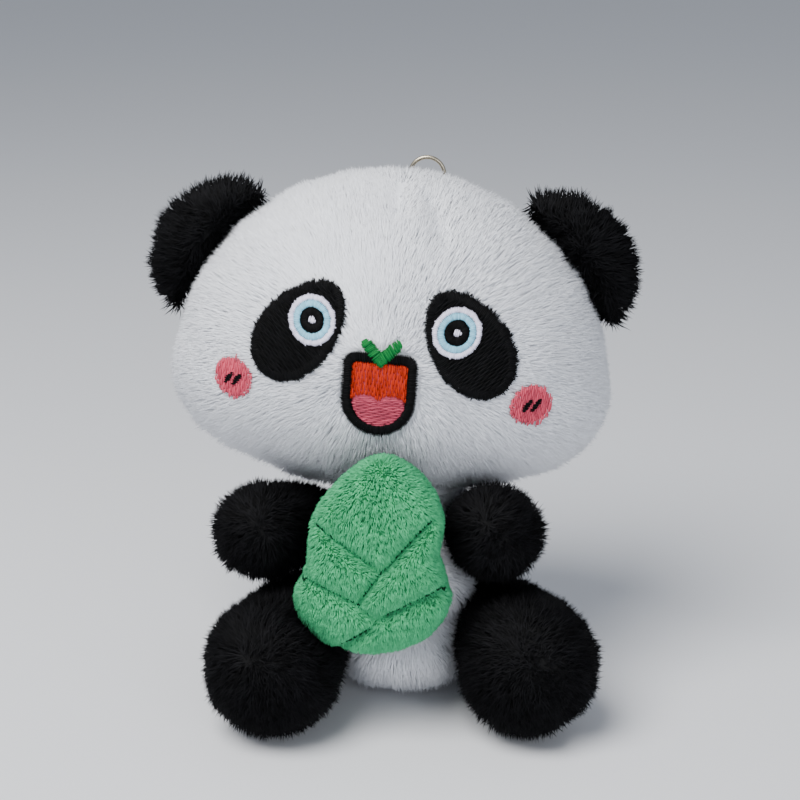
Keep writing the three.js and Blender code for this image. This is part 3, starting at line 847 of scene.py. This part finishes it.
def centre_line(node, step=0.5 * MM):
    """The middle of a CAD quilting stitch from one end to the other."""
    cloud = points_of(NODES[node].data)
    flat = cloud[:, [0, 2]]
    centred = flat - flat.mean(0)
    main = np.linalg.svd(centred, full_matrices=False)[2][0]
    run = centred @ main
    mesh = NODES[node].data
    tree = tree_of(mesh)
    line = []
    side = np.array([-main[1], main[0]])
    spread = np.abs(centred @ side).max() + MM
    for stop in np.arange(run.min() + 0.2 * MM, run.max(), step):
        across = []
        for offset in np.arange(-spread, spread, 0.1 * MM):
            x, z = flat.mean(0) + main * stop + side * offset
            if tree.ray_cast(Vector((x, SHOOT_CENTRE[1] - 30 * MM, z)), Vector(-FORWARD))[0] is not None:
                across.append((x, z))
        if across:
            x, z = np.mean(across, axis=0)
            line.append((x, 0.0, z))
    return np.array(line)


STITCH_NODES = [node for node in NODES if node.startswith("shoot_stitch")]
cast = shoot_front(skins["shoot"].data)
quilt_lines = [cast(centre_line(node))[0] for node in STITCH_NODES]
creases["shoot"] = [Crease(line) for line in quilt_lines]

CREASE_SHAPES = {"shoot": (2.8 * MM, 1.1 * MM), "head": (1.8 * MM, 2.0 * MM)}  # depth and width
LIMB_CREASE = (1.5 * MM, 1.8 * MM)
for name, skin in skins.items():
    pressed = creases[name] + [fold] if name == "head" else creases[name]
    press_creases(skin, pressed, *CREASE_SHAPES.get(name, LIMB_CREASE))
blow_up(list(skins.values()), 0.7 * MM)

FIRM, QUILTED, SOFT = 0.8, 0.7, 0.5  # how full a piece is stuffed
COVERS = {
    "head": ("head", white_backing, "white_plush", FIRM),
    "body": ("torso", white_backing, "white_plush", FIRM),
    "shoot": ("torso", green_backing, "green_plush", QUILTED),
}
for name, (body, backing, slot, fill) in COVERS.items():
    finish_skin(skins[name], backing, body, slot, [f"{name}_front_cover", f"{name}_back_cover"])
for limb in LIMBS:
    finish_skin(skins[limb], black_backing, limb, "black_plush", [f"{limb}_lower", f"{limb}_upper"])
    add_filling(f"{limb}_stuffing", limb, fibre_fill)
for side in SIDES:
    panels = [f"ear_{side}_front", f"ear_{side}_back"]
    finish_skin(skins[f"ear_{side}"], black_backing, f"ear_{side}", "black_plush", panels)
add_filling("head_stuffing", "head", fibre_fill)
add_filling("body_stuffing", "torso", fibre_fill)
add_filling("shoot_stuffing", "torso", fibre_fill)

QUILT_PITCH = 1.35 * MM  # from one stitch of the quilting to the next
QUILT_STITCH = 1.5 * MM
QUILT_THREAD = (0.6 * MM, 0.5 * MM)  # width and thickness
quilting = Threads()
cast = shoot_front(skins["shoot"].data)
for line in quilt_lines:
    floor, outward = cast(line)
    floor = floor[outward @ FORWARD > 0.4]
    run = np.concatenate([[0], np.cumsum(np.linalg.norm(np.diff(floor, axis=0), axis=1))])
    for start in np.arange(0, run[-1] - 0.8 * MM, QUILT_PITCH):
        stops = np.linspace(start, min(start + QUILT_STITCH, run[-1]), THREAD_SECTIONS)
        path = np.stack([np.interp(stops, run, floor[:, k]) for k in range(3)], axis=1)
        lift = 0.4 * MM + 0.35 * MM * np.sin(np.linspace(0, math.pi, THREAD_SECTIONS)) ** 0.5
        outwards = np.tile(FORWARD, (THREAD_SECTIONS, 1))
        quilting.add(path + FORWARD * lift[:, None], outwards, *QUILT_THREAD)
attach(quilting.object("shoot_quilting", quilt_thread), "torso", "dark_green_thread", *STITCH_NODES)

# ------------------------------------------------------------------ embroidery
EMBROIDERY_RISE = 1.55 * MM  # of the stitch beds over the skin, just under the tips of the pile
BED = 0.9 * MM

surface = FaceSurface(skins["head"].data, 40 * MM, -12 * MM, 30 * MM)
covered = []  # outlines in flat coordinates where no pile grows


def within(outline):
    """A test of flat points against a convex outline that runs anticlockwise."""
    ahead = np.roll(outline, -1, axis=0) - outline

    def test(points):
        inside = np.ones(len(points), bool)
        for corner, edge in zip(outline, ahead):
            inside &= edge[0] * (points[:, 1] - corner[1]) - edge[1] * (points[:, 0] - corner[0]) >= 0
        return inside

    return test


def egg_outline(node, swell):
    """A patch's oval, fuller at its outer and lower end."""
    oval = hull(flat_points(node))
    centre = (oval.min(0) + oval.max(0)) / 2
    oval = even_outline(oval, 0.6 * MM)
    main = np.linalg.svd(oval - centre, full_matrices=False)[2][0]
    main = main if main[1] < 0 else -main
    side = np.array([-main[1], main[0]])
    along, across = (oval - centre) @ main, (oval - centre) @ side
    across = across * (1 + swell * along / along.max())
    along = along * (1 + 0.04 * along / along.max())
    return rounded(centre + along[:, None] * main + across[:, None] * side), main


STROKE_SWELL = 1.4  # the strokes' thread lies wider than their CAD solids


def add_area(node, outline, inner, rows, materials, slot, rise, longest=3.2 * MM, edge=None, jag=JITTER):
    """A bed of stitches in place of one CAD embroidery node: rows inside, and a band across the edge."""
    centre = (outline.min(0) + outline.max(0)) / 2
    narrow = centre + (outline - centre) * (1 - 0.3 * MM / (outline - centre).max())
    base = bed(f"{node}_bed", surface, narrow, inner, rise, BED, materials[0])
    attach(base, "head", slot, node)
    threads = Threads()
    shades = len(materials)
    if rows is not None:
        fill_rows(threads, surface, within(outline), outline.min(0), outline.max(0), rows, rise + 0.1 * MM,
                  longest, shades, jag)
    if edge is not None:
        edge_stitches(threads, surface, outline, edge, rise + 0.16 * MM, shades, jag)
    attach(threads.object(f"{node}_threads", materials), "head", slot)


for side in SIDES:
    patch, main = egg_outline(f"eye_{side}_patch", 0.16)
    covered.append(patch)
    across_patch = (-main[1], main[0])
    add_area(f"eye_{side}_patch", patch, None, across_patch, black_thread, "black_thread", EMBROIDERY_RISE,
             3.4 * MM, 1.9 * MM, 0.26 * MM)
    eye_rise = EMBROIDERY_RISE + 0.32 * MM
    rings = {}
    for part in ("ring", "iris", "pupil", "highlight"):
        rings[part] = rounded(even_outline(hull(flat_points(f"eye_{side}_{part}")), 0.25 * MM))
    order = [
        ("ring", "iris", white_thread, "white_thread", 0.12),
        ("iris", "pupil", blue_thread, "blue_thread", 0.08),
        ("pupil", "highlight", black_thread, "black_thread", 0.08),
    ]
    for part, following, materials, slot, jag in order:
        band = np.linalg.norm(rings[part] - rings[part].mean(0), axis=1).mean()
        band -= np.linalg.norm(rings[following] - rings[following].mean(0), axis=1).mean()
        add_area(f"eye_{side}_{part}", rings[part], rings[following], None, materials, slot,
                 eye_rise - 0.12 * MM, edge=band, jag=jag * MM)
    add_area(f"eye_{side}_highlight", rings["highlight"], None, (0.2, 1), white_thread, "white_thread",
             eye_rise, jag=0.05 * MM)

    cheek = rounded(even_outline(hull(flat_points(f"cheek_{side}")), 0.5 * MM))
    covered.append(cheek)
    add_area(f"cheek_{side}", cheek, None, (0.06, 1), cheek_thread, "cheek_thread", EMBROIDERY_RISE - 0.1 * MM,
             2.4 * MM, jag=0.3 * MM)
    for nth in (1, 2):
        node = f"cheek_{side}_stroke_{nth}"
        stroke = rounded(even_outline(hull(flat_points(node)), 0.3 * MM))
        stroke = stroke.mean(0) + (stroke - stroke.mean(0)) * STROKE_SWELL
        add_area(node, stroke, None, (1, 0.2), black_thread, "black_thread", EMBROIDERY_RISE + 0.12 * MM,
                 jag=0.06 * MM)

mouth = rounded(even_outline(hull(flat_points("mouth_outline")), 0.4 * MM))
inside_mouth = rounded(even_outline(hull(flat_points("mouth_fill", "mouth_tongue")), 0.4 * MM))
covered.append(mouth)
line_width = (mouth.max(0)[0] - inside_mouth.max(0)[0]) * 1.05
add_area("mouth_outline", mouth, inside_mouth, None, black_thread, "black_thread",
         EMBROIDERY_RISE + 0.1 * MM, edge=line_width, jag=0.12 * MM)


def inside_node(node):
    """A test of flat points against a CAD node seen from the front."""
    tree = tree_of(NODES[node].data)
    start = HEAD_CENTRE + FORWARD * 60 * MM

    def test(points):
        return np.array([
            tree.ray_cast(Vector(start + ACROSS * u + UPWARD * v), Vector(-FORWARD))[0] is not None
            for u, v in points
        ])

    return test


def add_mouth_part(node, rows, materials, slot, longest):
    flat = flat_points(node)
    threads = Threads()
    fill_rows(threads, surface, inside_node(node), flat.min(0), flat.max(0), rows,
              EMBROIDERY_RISE - 0.02 * MM, longest, len(materials), 0.08 * MM)
    attach(threads.object(f"{node}_threads", materials), "head", slot, node)


mouth_bed = bed("mouth_bed", surface, inside_mouth, None, EMBROIDERY_RISE - 0.12 * MM, BED, pink_thread[0])
attach(mouth_bed, "head", "pink_thread")
add_mouth_part("mouth_fill", (0, 1), orange_thread, "orange_thread", 2.6 * MM)
add_mouth_part("mouth_tongue", (1, 0.06), pink_thread, "pink_thread", 2.8 * MM)

# The nose leaf: two blunt blades, each a row of stitches laid across it, on a foot over the mouth's edge.
leaf = flat_points("nose_leaf")
leaf_low, leaf_high = leaf.min(0), leaf.max(0)
leaf_threads = Threads()
leaf_foot = np.array([(leaf_low[0] + leaf_high[0]) / 2, leaf_low[1] + 0.6 * MM])
LEAF_HALF_WIDTH = 1.15 * MM
LEAF_BLUNT = 0.9 * MM  # how far the blades end short of the CAD leaf's tips
LEAF_LEAN = math.radians(46)  # of each blade from upright
LEAF_JITTER = 0.08 * MM
for sign in (-1, 1):
    blade = (leaf_high[0] - leaf_low[0]) / 2 / math.sin(LEAF_LEAN) - LEAF_BLUNT
    spine = np.array([sign * math.sin(LEAF_LEAN), math.cos(LEAF_LEAN)]) * blade
    tip = leaf_foot + spine
    length = np.hypot(*spine)
    side = np.array([-spine[1], spine[0]]) / length
    for layer in range(2):
        for share in np.arange(-0.15, 1.0, PITCH / length * 0.8):
            half = LEAF_HALF_WIDTH * (1 - 0.5 * max((share - 0.7) / 0.3, 0) ** 3)
            slant = spine / length * 0.15 * MM
            centre = leaf_foot + spine * share
            height = EMBROIDERY_RISE + (0.25 + 0.22 * layer) * MM
            start = jittered(centre - side * half - slant, LEAF_JITTER)
            end = jittered(centre + side * half + slant, LEAF_JITTER)
            sew(leaf_threads, surface, start, end, height, THREAD, shades=len(leaf_thread))
    covered.append(hull([leaf_foot + side * MM, leaf_foot - side * MM, tip - side * MM, tip + side * MM]))
attach(leaf_threads.object("nose_leaf_threads", leaf_thread), "head", "leaf_thread", "nose_leaf")

# ------------------------------------------------------------------ the pile of each piece
cover_tests = [within(outline) for outline in covered]


def off_embroidery(roots, normals):
    flat = flattened(roots)
    free = np.ones(len(roots), bool)
    for test in cover_tests:
        free &= ~test(flat)
    return free | (normals @ FORWARD < 0)


def head_length(roots):
    """Shorter beside the stitches, longer along the jaw."""
    flat = flattened(roots)
    beside = np.full(len(roots), 1.0)
    for outline in covered:
        spread = even_outline(outline, 1.2 * MM)
        for point in spread:
            beside = np.minimum(beside, np.linalg.norm(flat - point, axis=1))
    front = roots[:, 1] < HEAD_CENTRE[1]
    jaw = smooth_step(-flat[:, 1], 6 * MM, 22 * MM)
    return np.where(front, 0.62 + 0.38 * smooth_step(beside, 0.5 * MM, 4 * MM), 1.0) * (1 + 0.5 * jaw)


def head_comb(points):
    """Outwards from the muzzle over the face, downwards over the back of the head."""
    outward = points - MUZZLE
    outward[:, 1] = 0
    behind = smooth_step(points[:, 1], HEAD_CENTRE[1], HEAD_CENTRE[1] + 20 * MM)[:, None]
    over = unit(outward) + np.array([0, 0.3, -0.1])
    return over * (1 - behind) + np.array([0, 0.1, -1.0]) * behind


def downward(points):
    return np.tile([0.0, 0.0, -1.0], (len(points), 1))


white_pile = Pile(white_fibre, 9.0, 3.5, 0.27, 1.0, 0.14, 0.4, 8, 0.2, parting=1.6)
body_pile = Pile(white_fibre, 7.0, 4.2, 0.29, 0.7, 0.16, 0.3, 8, 0.25)
black_pile = Pile(black_fibre, 7.5, 3.6, 0.27, 0.45, 0.34, 0.3, 12, 0.4, 0.22, 2.2)
ear_pile = Pile(black_fibre, 8.0, 3.9, 0.27, 0.5, 0.3, 0.3, 18, 0.5, 0.28)
shoot_pile = Pile(green_fibre, 17.0, 1.35, 0.2, 0.8, 0.14, 0.25, 14, 0.45, parting=0.6)

grow_pile("head_pile", skins["head"], white_pile, head_comb, "head", "white_plush", creases["head"],
          off_embroidery, head_length, 8)
grow_pile("body_pile", skins["body"], body_pile, downward, "torso", "white_plush", split=3)

# Where each paw's and foot's pile parts, seen from the middle of its ball.
POLE_AIMS = {
    "arm_left": aim(16, 20),
    "arm_right": aim(10, 10),
    "leg_left": aim(-14, 24),
    "leg_right": aim(24, 22),
}
LIMB_COMB = np.array([0.5, 0.0, -0.9])
for limb in LIMBS:
    centre = foot_centre(limb)
    hit = tree_of(skins[limb].data).ray_cast(Vector(centre), Vector(POLE_AIMS[limb]))[0]
    pole = np.array(hit)
    grow_pile(f"{limb}_pile", skins[limb], black_pile, lambda p: unit(p - pole) + LIMB_COMB, limb,
              "black_plush", creases[limb], split=2)
for side in SIDES:
    seam = np.array(JOINTS[f"ear_{side}_fold"]["pos_m"])
    name = f"ear_{side}"
    grow_pile(f"{name}_pile", skins[name], ear_pile, lambda p: p - seam, name, "black_plush")


def shoot_comb(points):
    return np.tile([0.25, 0.0, -1.0], (len(points), 1))


grow_pile("shoot_pile", skins["shoot"], shoot_pile, shoot_comb, "torso", "green_plush", creases["shoot"],
          split=3)

# ------------------------------------------------------------------ ring, ribbon tab and hidden pieces
ring_low, ring_high = (np.array(corner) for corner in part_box("hang_ring"))
WIRE = (ring_high[1] - ring_low[1]) / 2
RING_RADIUS = (ring_high[2] - ring_low[2]) / 2 - WIRE
ring_centre = (ring_low + ring_high) / 2
ring_points, ring_faces = [], []
ROUND, SECTION = 72, 14
for i in range(ROUND):
    turn = 2 * math.pi * i / ROUND
    radial = ACROSS * math.cos(turn) + UPWARD * math.sin(turn)
    for k in range(SECTION):
        angle = 2 * math.pi * k / SECTION
        offset = radial * (RING_RADIUS + WIRE * math.cos(angle)) + FORWARD * WIRE * math.sin(angle)
        ring_points.append(ring_centre + offset)
        following, above = (i + 1) % ROUND, (k + 1) % SECTION
        here, there = i * SECTION, following * SECTION
        ring_faces.append((here + k, there + k, there + above, here + above))
ring = new_object("hang_ring_wire", build_mesh("hang_ring_wire", ring_points, ring_faces), [wire_brushed])
shade_smooth(ring.data)
attach(ring, "ring", "ring_metal", "hang_ring")


def dress(node, material):
    for slot in NODES[node].material_slots:
        slot.material = material


dress("ribbon_tab", ribbon_weave)
dress("neck_seam", white_backing)
dress("shoot_tack", shank_twist)


# ------------------------------------------------------------------ camera, light and floor
def make_camera(azimuth, elevation, distance, target, lens):
    back = aim(azimuth, elevation)
    camera = bpy.data.objects.new("camera", bpy.data.cameras.new("camera"))
    camera.data.lens = lens
    camera.data.clip_start = distance / 100
    camera.location = Vector(np.array(target) + back * distance)
    camera.rotation_mode = "QUATERNION"
    camera.rotation_quaternion = Vector(-back).to_track_quat("-Z", "Y")
    bpy.context.scene.collection.objects.link(camera)
    bpy.context.scene.camera = camera


def make_area_light(name, place, size, power, colour):
    lamp = bpy.data.objects.new(name, bpy.data.lights.new(name, "AREA"))
    lamp.data.shape = "DISK"
    lamp.data.size = size
    lamp.data.energy = power
    lamp.data.color = colour
    lamp.location = place
    lamp.rotation_mode = "QUATERNION"
    lamp.rotation_quaternion = (Vector((0, 0, 0.06)) - Vector(place)).to_track_quat("-Z", "Y")
    bpy.context.scene.collection.objects.link(lamp)


def make_world(colour, strength):
    world = bpy.data.worlds.new("studio")
    world.use_nodes = True
    background = world.node_tree.nodes["Background"]
    background.inputs["Color"].default_value = (*colour, 1)
    background.inputs["Strength"].default_value = strength
    bpy.context.scene.world = world


def make_floor(half, material):
    corners = [(x * half, y * half, -0.1 * MM) for x, y in ((-1, -1), (1, -1), (1, 1), (-1, 1))]
    floor = new_object("floor", build_mesh("floor", corners, [(0, 1, 2, 3)]), [material])


make_camera(5, 17, 0.410, (0, 0, 0.060), 85)
make_world((0.84, 0.9, 1.0), 0.42)
make_area_light("key", (-0.22, -0.34, 0.62), 0.5, 7.9, (1, 0.99, 0.97))
make_area_light("fill", (0.3, -0.62, 0.14), 0.6, 2.4, (0.92, 0.95, 1))
make_floor(3, principled("floor", (0.78, 0.79, 0.82), 0.8))
